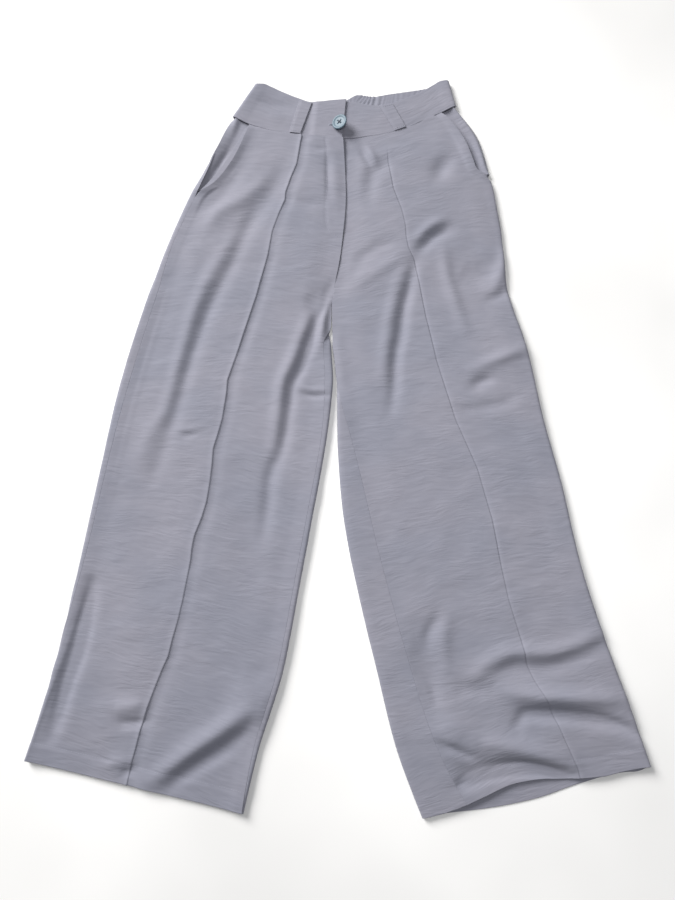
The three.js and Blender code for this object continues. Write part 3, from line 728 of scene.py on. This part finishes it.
def loft(grid):
    """How far a front stands off its back away from all its edges."""
    down, up = lengths_along(grid, 0), lengths_along(grid[::-1], 0)[::-1]
    left, right = lengths_along(grid, 1), lengths_along(grid[:, ::-1], 1)[:, ::-1]
    sides = smooth_step(np.minimum(left, right), 4 * MM, 45 * MM)
    return LOFT * sides * smooth_step(down, 5 * MM, 60 * MM) * smooth_step(up, 0, 70 * MM)


def tuck_height(away, down, size):
    """Cross-section of a pin tuck, away being the distance from its crest towards +X."""
    height = np.where(away < 0, bump(away, size["soft"]), bump(away, size["steep"]))
    hollow = bump(away - TUCK_HOLLOW, TUCK_HOLLOW)
    uneven = 1 + 0.35 * soft_noise(down, down * 0, 0.045, 1, 41)
    uneven = uneven * smooth_step(down, size["from"] / 3 - 1e-6, size["from"])
    return uneven * (size["height"] * height - size["hollow"] * hollow)


# The fly's stitching, down its inner edge and round to the fly's end, in millimetres.
FLY_STITCH = [(-19, 430), (-17, 410), (-16, 355), (-18, 310), (-16, 288), (-9, 276), (4, 270)]


def placket(x, y):
    """The fly's facing lifts the cloth between the stitching, which sinks in, and its edge."""
    away, _ = distance_to_line(x, y, spline_points(FLY_STITCH) * MM)
    inside = smooth_step(x, -18 * MM, -10 * MM) * smooth_step(y, 270 * MM, 280 * MM)
    return 0.5 * MM * inside - 0.35 * MM * bump(away, 1.8 * MM)


LAP_RISE = 2.0 * MM  # how far the waistband's lap lifts the cloth below it
POCKET_LIP = {"right": 1.2 * MM, "left": 2.4 * MM}  # how far the pocket mouths stand open
POCKET_LENGTH = 115 * MM
LIP_WIDTH = 9 * MM
BEARING_RISE = 1.0 * MM  # how much higher the right bearing's outer part is than in the CAD
BEARING_REACH = 2.5 * MM  # how much further out that part reaches
# Where the right bearing sinks at the pocket's mouth: depth, then shares of its length and width.
MOUTH = {"depth": 2.2 * MM, "from": 0.34, "length": 0.5, "share": 0.5, "slant": 0.4, "half": 0.09}
# The left front's hem lies lower on the outer side of its arch, and the cloth above goes with it.
HEM_DROP = {"depth": 5 * MM, "x": 290 * MM, "half": 50 * MM, "reach": 70 * MM}
# Seams stand up a little below the crotch, where they lie on top of a leg: height, half width, and
# the distances below the waist at which that starts and is whole.
SEAM_LIFT = {"height": 1.6 * MM, "half": 28 * MM, "from": 330 * MM, "whole": 430 * MM}
HEM_LAYER = 0.4 * MM  # how much the turned hem thickens the cloth
HEM_DRAW = 0.35 * MM  # how far the hem's stitches draw it in


def lap_rise(x, down):
    """The lap's rise, just below the waist and fading towards -X."""
    below = 1 - smooth_step(down, 5 * MM, 55 * MM)
    return LAP_RISE * below * smooth_step(x, -70 * MM, -42 * MM)


def seam_lift(grid):
    """Height near a panel's two long edges, the same on both sides of a seam."""
    across, down = lengths_along(grid, 1), lengths_along(grid, 0)
    nearest = np.minimum(across, across[:, -1:] - across)
    below = smooth_step(down, SEAM_LIFT["from"], SEAM_LIFT["whole"])
    return SEAM_LIFT["height"] * bump(nearest, SEAM_LIFT["half"]) * below


def pocket_lip(across, down, rise):
    """The front's outer edge stands up along the pocket mouth."""
    along = np.sin(np.pi * np.clip(down / POCKET_LENGTH, 0, 1))
    return rise * along * bump(across, LIP_WIDTH)


def make_front(side, creases, seed):
    node = "front_" + side
    base = read_grid(node, LEG_ROWS, FRONT_COLUMNS, CAD_CLOTH)
    base = level_top(np.delete(base, CREST, axis=1))
    row_parts = [FRONT_ROW_PARTS] * (LEG_ROWS - 1)
    column_parts = parts_for(base, FINE, 1)
    column_parts[CREST - 1] = TUCK_PARTS
    grid = refine_columns(refine_rows(base, row_parts), column_parts)
    crest = sum(column_parts[: CREST - 1]) + TUCK_PARTS // 2
    across = lengths_along(grid, 1)
    away = across - across[:, crest][:, None]
    if grid[5, -1, 0] < grid[5, 0, 0]:
        away = -away
    down = lengths_along(grid, 0)
    moved = tuck_shift(grid[:, crest], TUCK_LINES[side])
    grid[..., 0] += moved[:, None] * bump(away, TUCK_PULL) * smooth_step(down, 0, 15 * MM)
    grid[..., 1] += SEAM_CLOSE * (1 - smooth_step(down, 0, 4 * MM))
    if side == "left":
        at_hem = 1 - smooth_step(lengths_along(grid[::-1], 0)[::-1], 0, HEM_DROP["reach"])
        across_hem = bump(grid[..., 0] - HEM_DROP["x"], HEM_DROP["half"])
        grid[..., 1] -= HEM_DROP["depth"] * across_hem * at_hem
    x, y = grid[..., 0], grid[..., 1]
    share = top_share(grid)
    height = crease_height(x, y, creases) + swells(x, y, seed) + loft(grid) + seam_lift(grid)
    height = height + pocket_lip(across, down, POCKET_LIP[side])
    if side == "right":
        height = height + placket(x, y) + lap_rise(x, down)
    raised = keep_above(grid[..., 2] + height * share, LOWEST_TOP)
    z = np.where(share > 0, grid[..., 2] * (1 - share) + raised * share, grid[..., 2])
    z = z + share * tuck_height(away, down, TUCKS[side])
    # The turned hem is a layer thicker, and its stitches draw it in.
    from_hem = lengths_along(grid[::-1], 0)[::-1]
    z = z + share * (HEM_LAYER * (1 - smooth_step(from_hem, HEM - 2 * MM, HEM)))
    z = z - share * HEM_DRAW * bump(from_hem - HEM, 1.6 * MM)
    shape = np.stack([x, y, z], axis=-1)
    piece = shell("panel_" + node, shape, CLOTH, cloth_uv(grid, (0, seed * 0.37)))
    finish_piece(piece, CREPE, "crepe", node)
    return shape


def make_back(side, creases, seed):
    node = "back_" + side
    base = read_grid(node, LEG_ROWS, BACK_COLUMNS, CAD_CLOTH, outside=-1)
    grid = refine_rows(base, [BACK_ROW_PARTS] * (LEG_ROWS - 1))
    grid = refine_columns(grid, parts_for(base, BACK_STEP, 1, least=2))
    x, y = grid[..., 0], grid[..., 1]
    share = top_share(grid)
    height = crease_height(x, y, creases) + swells(x, y, seed) + seam_lift(grid)
    under = 1 - smooth_step(grid[..., 2], 0.2 * MM, 2.0 * MM)
    rucks = 0.5 * MM * np.clip(soft_noise(x, y, 0.05, 0.09, seed + 20), 0, 1) * under
    z = np.maximum(grid[..., 2] + height * share + rucks, 0)
    shape = np.stack([x, y, z], axis=-1)
    name = "panel_" + node
    piece = shell(name, shape, CLOTH, cloth_uv(grid, (0.9, seed * 0.41)), outside=-1)
    finish_piece(piece, CREPE, "crepe", node)


right_front = make_front("right", RIGHT_CREASES, 3)
left_front = make_front("left", LEFT_CREASES, 5)
make_back("right", RIGHT_CREASES, 3)
make_back("left", LEFT_CREASES, 5)


# ---- Stitches ----
STITCH = {"length": 2.3 * MM, "pitch": 3.2 * MM, "radius": 0.22 * MM, "proud": 0.05 * MM}


def stitch_run(name, line):
    """A row of stitches along a line of points on the cloth's face."""
    gaps = np.linalg.norm(np.diff(line, axis=0), axis=1)
    place = np.concatenate([[0], np.cumsum(gaps)])
    starts = np.arange(STITCH["pitch"] / 2, place[-1] - STITCH["length"], STITCH["pitch"])
    stitches = []
    for start in starts:
        steps = start + STITCH["length"] * np.linspace(0, 1, 4)
        points = np.column_stack([np.interp(steps, place, line[:, k]) for k in range(3)])
        stitches.append(tube(points + (0, 0, STITCH["proud"]), STITCH["radius"], 5))
    finish_piece(new_object(name, *join_parts(stitches)), THREAD, "crepe")


def hem_stitches(side, shape):
    """The hem's stitching, on the row of the front that runs along the top of the hem."""
    from_hem = lengths_along(shape[::-1], 0)[::-1].mean(axis=1)
    stitch_run("stitch_hem_" + side, shape[np.abs(from_hem - HEM).argmin()])


def fly_stitches(shape):
    line = spline_points(FLY_STITCH) * MM
    heights = [surface_height(shape, *point) for point in line]
    stitch_run("stitch_fly", np.column_stack([line, heights]))


hem_stitches("right", right_front)
hem_stitches("left", left_front)
fly_stitches(right_front)


# ---- Pockets ----
def make_small(node, rows, columns, cad_wall, wall, step=2.5 * MM, offset=(0, 0), shape=None):
    """A piece that follows its CAD node closely. shape alters its refined grid in place."""
    base = read_grid(node, rows, columns, cad_wall)
    grid = refine(base, step)
    if shape:
        shape(grid)
    piece = shell("cloth_" + node, grid, wall, cloth_uv(grid, offset))
    finish_piece(piece, CREPE, "crepe", node)
    return grid


def shape_band(grid):
    """Low creases, and the lower edge moved to the waist seam."""
    x, y = grid[..., 0], grid[..., 1]
    grid[..., 2] += crease_height(x, y, BAND_CREASES) + 0.35 * MM * soft_noise(x, y, 0.05, 0.03, 51)
    up = lengths_along(grid[::-1], 0)[::-1]
    grid[..., 1] -= SEAM_CLOSE * (1 - smooth_step(up, 0, 4 * MM))


def fill_bearing(grid):
    """The right bearing meets the roll beside it, and sinks steeply where the pocket opens.

    The mouth's line comes nearer to the bearing's outer edge from row to row.
    """
    share = lengths_along(grid, 1) / lengths_along(grid, 1)[:, -1:]
    row = np.linspace(0, 1, len(grid))[:, None]
    beside = (1 - smooth_step(share, 0.08, 0.35)) * smooth_step(row, 0, 0.2)
    opening = np.sin(np.pi * np.clip((row - MOUTH["from"]) / MOUTH["length"], 0, 1))
    mouth = bump(share - (MOUTH["share"] - MOUTH["slant"] * row), MOUTH["half"])
    grid[..., 2] += BEARING_RISE * beside - MOUTH["depth"] * opening * mouth
    grid[..., 0] -= BEARING_REACH * smooth_step(row, 0.3, 0.55) * (1 - smooth_step(share, 0, 0.2))


make_small(
    "pocket_bearing_right", 6, 5, CAD_CLOTH, CLOTH, offset=(2, 0), shape=fill_bearing
)
make_small("pocket_bearing_left", 6, 5, CAD_CLOTH, CLOTH, offset=(2, 1))
make_small("pocket_facing_right", 5, 3, CAD_CLOTH, CLOTH, offset=(2, 2))


# ---- Waistband and belt loops ----
def make_front_band(side, offset):
    node = "waistband_front_" + side
    return make_small(node, 4, 13, CAD_BAND, BAND, offset=offset, shape=shape_band)


upper_band = make_front_band("right", (3, 0))
make_front_band("left", (3, 1))


LOOP_PRESS = 0.3 * MM  # how much closer to its band a loop lies than in the CAD
LOOP_EDGE = {"depth": 0.6 * MM, "width": 5 * MM}  # and its edge towards -X, further
# Gathers of the elasticated back: spacing, drift off even spacing, depth, and where they are dense.
GATHERS = {"pitch": 6.5 * MM, "wander": 8 * MM, "depth": 0.7 * MM, "x": 56 * MM, "half": 45 * MM}


def press_loop(grid):
    """A loop lies close to its band, and its edge towards -X lies closest."""
    from_edge = grid[..., 0] - grid[..., 0].min(axis=1, keepdims=True)
    grid[..., 2] -= LOOP_PRESS + LOOP_EDGE["depth"] * (1 - smooth_step(from_edge, 0, LOOP_EDGE["width"]))


def make_loop(side, offset):
    node, rests_on = "belt_loop_" + side, ["waistband_front_" + side]
    loop = make_small(node, 4, 4, CAD_LOOP, LOOP, 1.5 * MM, offset, press_loop)
    for place, row in (("top", 2), ("foot", -3)):
        stitch_run(f"stitch_loop_{side}_{place}", loop[row])


make_loop("right", (3, 2))
make_loop("left", (3, 3))


def make_back_band():
    """The elasticated back of the waistband, gathered most where it shows."""
    node = "waistband_back"
    base = read_grid(node, 4, 15, CAD_BAND, outside=1)
    grid = refine(base, 1.6 * MM)
    across = lengths_along(grid, 1)
    down = lengths_along(grid, 0)
    wander = GATHERS["wander"] * soft_noise(across, down, 0.018, 0.05, 11)
    wave = np.cos(2 * np.pi * (across + wander) / GATHERS["pitch"])
    gathered = 0.25 + 0.75 * bump(grid[..., 0] - GATHERS["x"], GATHERS["half"])
    uneven = np.clip(0.75 + 0.8 * soft_noise(across, down, 0.014, 0.06, 12), 0.05, 1)
    depth = GATHERS["depth"] * gathered * uneven
    grid[..., 2] += depth * (wave - 1)
    piece = shell("cloth_" + node, grid, BACK_BAND, cloth_uv(grid, (3, 4)))
    finish_piece(piece, CREPE, "crepe", node)


make_back_band()


# ---- Button and zip ----
def lathe(profile, sides):
    """Points and quads of a profile of (radius, height) turned about Z, closed at the axis."""
    turn = np.linspace(0, 2 * np.pi, sides, endpoint=False)
    rings = [np.stack([r * np.cos(turn), r * np.sin(turn), np.full(sides, h)], axis=-1) for r, h in profile]
    points = np.concatenate(rings)
    faces = []
    for k in range(len(profile) - 1):
        for i in range(sides):
            j = (i + 1) % sides
            faces.append([k * sides + i, k * sides + j, (k + 1) * sides + j, (k + 1) * sides + i])
    return points, faces


def cad_axes(node):
    """Centre of a flat round CAD node, and a matrix whose last column is its upward axis."""
    points, _ = merged_mesh(node)
    centre = (points.min(axis=0) + points.max(axis=0)) / 2
    _, _, axes = np.linalg.svd(points - points.mean(axis=0), full_matrices=False)
    up = axes[2] * np.sign(axes[2][2])
    side = np.cross((0, 1, 0), up)
    side /= np.linalg.norm(side)
    return centre, np.stack([side, np.cross(up, side), up], axis=-1)


BUTTON_RADIUS = 12 * MM
BUTTON_THICKNESS = 3 * MM
HOLE_RADIUS = 1.0 * MM
HOLE_OUT = 1.9 * MM  # how far the button's holes are from its two middle lines
HOLES = [(-1, -1), (1, -1), (1, 1), (-1, 1)]


def cut_holes(button, centre, axes):
    """Cuts the four holes of a button right through."""
    profile = [(0.01 * MM, -4 * MM), (HOLE_RADIUS, -4 * MM), (HOLE_RADIUS, 4 * MM), (0.01 * MM, 4 * MM)]
    pins = []
    for x, y in HOLES:
        points, faces = lathe(profile, 20)
        pins.append(((points + (x * HOLE_OUT, y * HOLE_OUT, 0)) @ axes.T + centre, faces))
    cutter = new_object("hole_cutter", *join_parts(pins))
    cut = button.modifiers.new("holes", "BOOLEAN")
    cut.operation = "DIFFERENCE"
    cut.solver = "EXACT"
    cut.object = cutter
    made = bpy.data.meshes.new_from_object(button.evaluated_get(bpy.context.evaluated_depsgraph_get()))
    button.modifiers.clear()
    button.data = made
    bpy.data.objects.remove(cutter)


def make_button():
    centre, axes = cad_axes("button")
    low, high = BUTTON_RADIUS, BUTTON_THICKNESS / 2
    profile = [
        (0.05 * MM, -high), (low - 2.4 * MM, -high), (low - 0.9 * MM, -high + 0.5 * MM),
        (low - 0.15 * MM, -0.3 * MM), (low - 0.1 * MM, 0.4 * MM), (low - 0.8 * MM, high - 0.25 * MM),
        (low - 1.6 * MM, high), (low - 2.6 * MM, high - 0.1 * MM), (low - 3.6 * MM, high - 0.7 * MM),
        (low - 4.6 * MM, high - 0.95 * MM), (low - 6.5 * MM, high - 1.0 * MM), (0.05 * MM, high - 1.05 * MM),
    ]
    points, faces = lathe(profile, 64)
    piece = new_object("shirt_button", points @ axes.T + centre, faces)
    cut_holes(piece, centre, axes)
    finish_piece(piece, PEARL, "button", "button")
    strands = []
    for start, end in ((0, 2), (1, 3), (0, 2), (1, 3)):
        side = 0.35 * MM * (1 if len(strands) < 2 else -1)
        steps = np.linspace(-1, 1, 9)
        a, b = (np.array(HOLES[k]) * HOLE_OUT for k in (start, end))
        along = (a + b)[None] / 2 + (b - a)[None] / 2 * steps[:, None]
        square = np.array([a[1] - b[1], b[0] - a[0]]) / np.linalg.norm(b - a)
        along = along + square * side
        lift = high - 0.6 * MM + 0.5 * MM * (1 - steps**4) - 1.8 * MM * (np.abs(steps) > 0.99)
        strands.append(tube(np.column_stack([along, lift]) @ axes.T + centre, 0.32 * MM))
    thread = new_object("button_thread", *join_parts(strands))
    finish_piece(thread, DARK_THREAD_AND_SLIT_SHADE, "button")
    return centre


def make_buttonhole(centre, band):
    """A slit across the band, edged with close stitches, that shows past the button; the slit itself is
    painted shade, a dark tube on the band.
    """
    half, edge = 14 * MM, 0.9 * MM
    x, y = centre[0] - 3 * MM, centre[1]
    turn = np.linspace(0, 2 * np.pi, 49)
    line = np.column_stack([
        x + (half - edge) * np.sign(np.cos(turn)) * np.abs(np.cos(turn)) ** 0.5,
        y + edge * np.sin(turn),
    ])
    heights = [surface_height(band, *point) + 0.1 * MM for point in line]
    edging = new_object("buttonhole_stitch", *tube(np.column_stack([line, heights]), 0.5 * MM))
    finish_piece(edging, THREAD, "crepe")
    # The slit's inside is painted shade: a dark tube lying just on the band, with no opening cut.
    slit_x = np.linspace(x - half + edge, x + half - edge, 21)
    slit = [(px, y, surface_height(band, px, y) + 0.05 * MM) for px in slit_x]
    finish_piece(new_object("buttonhole_slit_painted_shade", *tube(slit, 0.45 * MM)), DARK_THREAD_AND_SLIT_SHADE, "crepe")


make_buttonhole(make_button(), upper_band)
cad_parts["fly_zip"].data.materials.clear()
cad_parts["fly_zip"].data.materials.append(TAPE)
